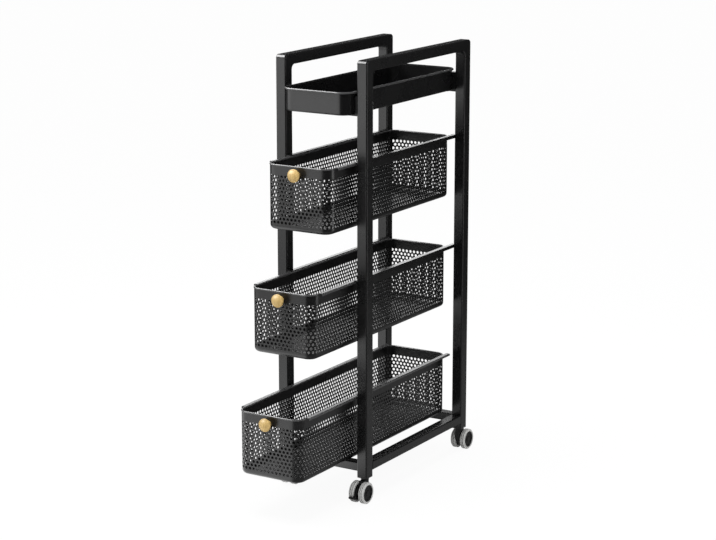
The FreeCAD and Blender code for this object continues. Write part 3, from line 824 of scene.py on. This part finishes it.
def floored(graph, wall, sides):
    """The bent wall with a floor that fills the ring at its foot."""
    lone_edge = graph.add("GeometryNodeInputMeshEdgeNeighbors")[0].math("LESS_THAN", 1.5)
    foot_edge = lone_edge * (position(graph)["Z"] - wall.base).math("LESS_THAN", foot_tolerance)
    ring = graph.add("GeometryNodeMeshToCurve", {}, {"Mesh": sides, "Selection": foot_edge})[0]
    floor = graph.add("GeometryNodeFillCurve", {"mode": "NGONS"}, {"Curve": ring})[0]
    floor = graph.add("GeometryNodeFlipFaces", {}, {"Mesh": floor})[0]
    floor = moved(graph, floor, combine(graph, 0.0, 0.0, wall.base))
    return welded(graph, graph.add("GeometryNodeJoinGeometry", {}, {0: [sides, floor]})[0])


def perforation_tree(name):
    """The node group that makes the walls and the floor of one basket, as a bare surface."""
    graph, sockets, given = open_tree(name)
    wall = WallLengths(given)
    body = floored(graph, wall, bent(graph, wall, flat_strip(graph, given, wall)))
    body = graph.add("GeometryNodeRealizeInstances", {}, {"Geometry": body})[0]
    finish = {"Geometry": body, "Material": given["Material"]}
    body = graph.add("GeometryNodeSetMaterial", {}, finish)[0]
    graph.add("NodeGroupOutput", {}, {0: body})
    return graph.tree, sockets


tree, sockets = perforation_tree("perforated basket")
print(len(tree.nodes), "nodes make a basket")

# %% [markdown]
# ## The three baskets
#
# The plain basket of the frame gives the outer size, and the perforated one takes its
# place and rides on the same drawer. Solidify gives the bent surface the thickness of the
# sheet, inwards. The number of columns is rounded so that the pattern closes on itself.

# %% The three baskets
basket_names = ("upper", "middle", "lower")
hole_rows = 13
row_pitch = 7.3 * mm
first_row_drop = 22.0 * mm
sheet = 1.0 * mm
basket_height = 125.0 * mm
corner_radius = 20.0 * mm
foot_radius = 8.0 * mm
hem_reach = 1.5 * mm
flange_width = 7.3 * mm
flange_tail = 2.0 * mm
bead_cover = 0.8 * mm


def plain_mesh(item):
    """The finished mesh of an object with its modifiers worked in."""
    bpy.context.scene.collection.objects.link(item)
    graph = bpy.context.evaluated_depsgraph_get()
    mesh = bpy.data.meshes.new_from_object(item.evaluated_get(graph))
    bpy.data.objects.remove(item)
    return mesh


def basket_size(name):
    """Half the width, the front, the back and the height of a basket's walls."""
    low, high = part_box(name + "_basket")
    return high.x - flange_width, low.y + hem_reach, high.y - flange_tail, high.z


def way_round(half, length):
    """The length of the outline of a basket with rounded corners."""
    return 4 * (half - corner_radius) + 2 * (length - 2 * corner_radius) + 2 * math.pi * corner_radius


def basket_shell(name):
    """One perforated basket, in the place of the plain one."""
    half, front, back, rim = basket_size(name)
    length = way_round(half, back - front)
    columns = round(length / hole_pitch)
    cell = hole_cell(length / columns, row_pitch)
    source = bpy.data.objects.new(name + " strip", bpy.data.meshes.new(name + " strip"))
    nodes = source.modifiers.new("perforation", "NODES")
    nodes.node_group = tree
    values = {
        "Half Width": half,
        "Front": front,
        "Back": back,
        "Rim": rim - bead_cover,
        "Height": basket_height - bead_cover,
        "Corner Radius": corner_radius,
        "Foot Radius": foot_radius,
        "Columns": columns,
        "Rows": hole_rows,
        "Row Pitch": row_pitch,
        "First Row Drop": first_row_drop,
        "Cell": cell,
        "Material": materials["basket_steel"],
    }
    for label, value in values.items():
        nodes[sockets[label]] = value
    thick = source.modifiers.new("sheet", "SOLIDIFY")
    thick.thickness = sheet
    thick.offset = -1.0
    mesh = plain_mesh(source)
    mesh.name = name + "_basket_shell"
    shade(mesh)
    bpy.data.objects.remove(cell)
    item = bpy.data.objects.new(name + "_basket_shell", mesh)
    bpy.context.scene.collection.objects.link(item)
    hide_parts(name + "_basket")
    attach(item, name + "_drawer")
    mesh.calc_loop_triangles()
    print(name, columns, "columns,", len(mesh.loop_triangles), "triangles")


for name in basket_names:
    basket_shell(name)

# %% [markdown]
# ## Rims and flanges
#
# The edge of the sheet is rolled to a small bead, which stiffens the rim and is kind to
# the hands, and the hem of the tray is rolled too. Each long side of a basket also carries
# a folded flange, and the flanges of the two upper baskets run in the slide rails. A bead
# is one small round profile carried round the rim, and a flange is an L-shaped profile
# pulled along a straight line. A curve with a bevel would do the same, but the profile has
# to stay upright and exact in its corners.

# %% Profiles
flange_lip = 4.4 * mm
flange_root = 0.5 * mm
flange_bend = 1.7 * mm
flange_edge = 0.45 * mm
bead_sides = 16


def arc(centre, radius, start, end, steps=5):
    """Points on an arc from one angle in degrees to another."""
    angles = [math.radians(start + (end - start) * i / steps) for i in range(steps + 1)]
    return [(centre[0] + radius * math.cos(a), centre[1] + radius * math.sin(a)) for a in angles]


def bead_profile(radius, rim):
    """A round rolled edge below the rim, as pairs of outwards and up, against the clock."""
    return arc((0.0, rim - radius), radius, 0, 360, bead_sides)[:-1]


def flange_profile(rim):
    """The L shape of a flange, from inside the bead to the tip and back below the plate."""
    low = rim - flange_lip
    bend = (flange_width - flange_bend, rim - flange_bend)
    return (
        [(-flange_root, rim - sheet)]
        + arc(bend, flange_bend - sheet, 90, 0)
        + arc((flange_width - sheet + flange_edge, low + flange_edge), flange_edge, 180, 270, 2)
        + arc((flange_width - flange_edge, low + flange_edge), flange_edge, 270, 360, 2)
        + arc(bend, flange_bend, 0, 90)
        + [(-flange_root, rim)]
    )


print("a bead of", len(bead_profile(1.0, 0.0)), "points, a flange of", len(flange_profile(0.0)))

# %% Paths and sweeps
def rim_path(half, front, back, radius):
    """Points round a rounded rectangle, each with the way that faces outwards there."""
    path = []
    for quarter in range(4):
        side = 1 if quarter in (0, 3) else -1
        centre = Vector((side * (half - radius), back - radius if quarter < 2 else front + radius))
        for step in range(corner_steps + 1):
            angle = math.pi / 2 * (quarter + step / corner_steps)
            out = Vector((math.cos(angle), math.sin(angle)))
            path.append((centre + out * radius, out))
    return path


def sweep(path, profile, closed):
    """The points and faces of a profile carried along a path."""
    points = []
    for place, out in path:
        points += [(place.x + out.x * across, place.y + out.y * across, up) for across, up in profile]
    count = len(profile)
    faces = []
    for i in range(len(path) if closed else len(path) - 1):
        here = i * count
        there = (i + 1) % len(path) * count
        for j in range(count):
            after = (j + 1) % count
            faces.append((here + j, there + j, there + after, here + after))
    if not closed:
        faces.append(tuple(range(count)))
        faces.append(tuple(range(len(points) - 1, len(points) - 1 - count, -1)))
    return points, faces


def add_rim(name, points, faces, body):
    item = mesh_object(name, points, faces)
    # The rolled edges take the lighter coat: a painted highlight.
    item.data.materials.append(materials["rolled_edge"])
    bpy.context.scene.collection.objects.link(item)
    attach(item, body)
    print(name, len(faces), "faces")


print(len(rim_path(1.0, 0.0, 1.0, 0.1)), "points round a rim")

# %% The rims of the baskets
bead_radius = 1.7 * mm
bead_reach = 0.1 * mm
flange_start = 24.0 * mm


def basket_rim(name):
    """The bead and the two flanges of one basket, as one piece."""
    half, front, back, rim = basket_size(name)
    r = bead_radius
    path = rim_path(half + bead_reach - r, front - hem_reach + r, back + hem_reach - r, corner_radius - r)
    points, faces = sweep(path, bead_profile(r, rim), True)
    start, end = front + flange_start, back + flange_tail
    for side in (1, -1):
        out = Vector((side, 0))
        run = [(Vector((side * half, start)), out), (Vector((side * half, end)), out)]
        if side < 0:
            run.reverse()
        more_points, more_faces = sweep(run, flange_profile(rim), False)
        base = len(points)
        points += more_points
        faces += [tuple(base + corner for corner in face) for face in more_faces]
    add_rim(name + "_basket_rim", points, faces, name + "_drawer")


for name in basket_names:
    basket_rim(name)

# %% The rolled edge of the tray
tray_bead_radius = 2.05 * mm
tray_hem_width = 2.0 * mm
tray_hem_height = 3.5 * mm
tray_corner_radius = 25.0 * mm


def tray_rim():
    """The rolled edge of the tray, round its hem."""
    low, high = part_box("tray")
    inset = tray_hem_width / 2
    path = rim_path(high.x - inset, low.y + inset, high.y - inset, tray_corner_radius - inset)
    top = high.z - tray_hem_height / 2 + tray_bead_radius
    points, faces = sweep(path, bead_profile(tray_bead_radius, top), True)
    add_rim("tray_rim", points, faces, "frame")


tray_rim()
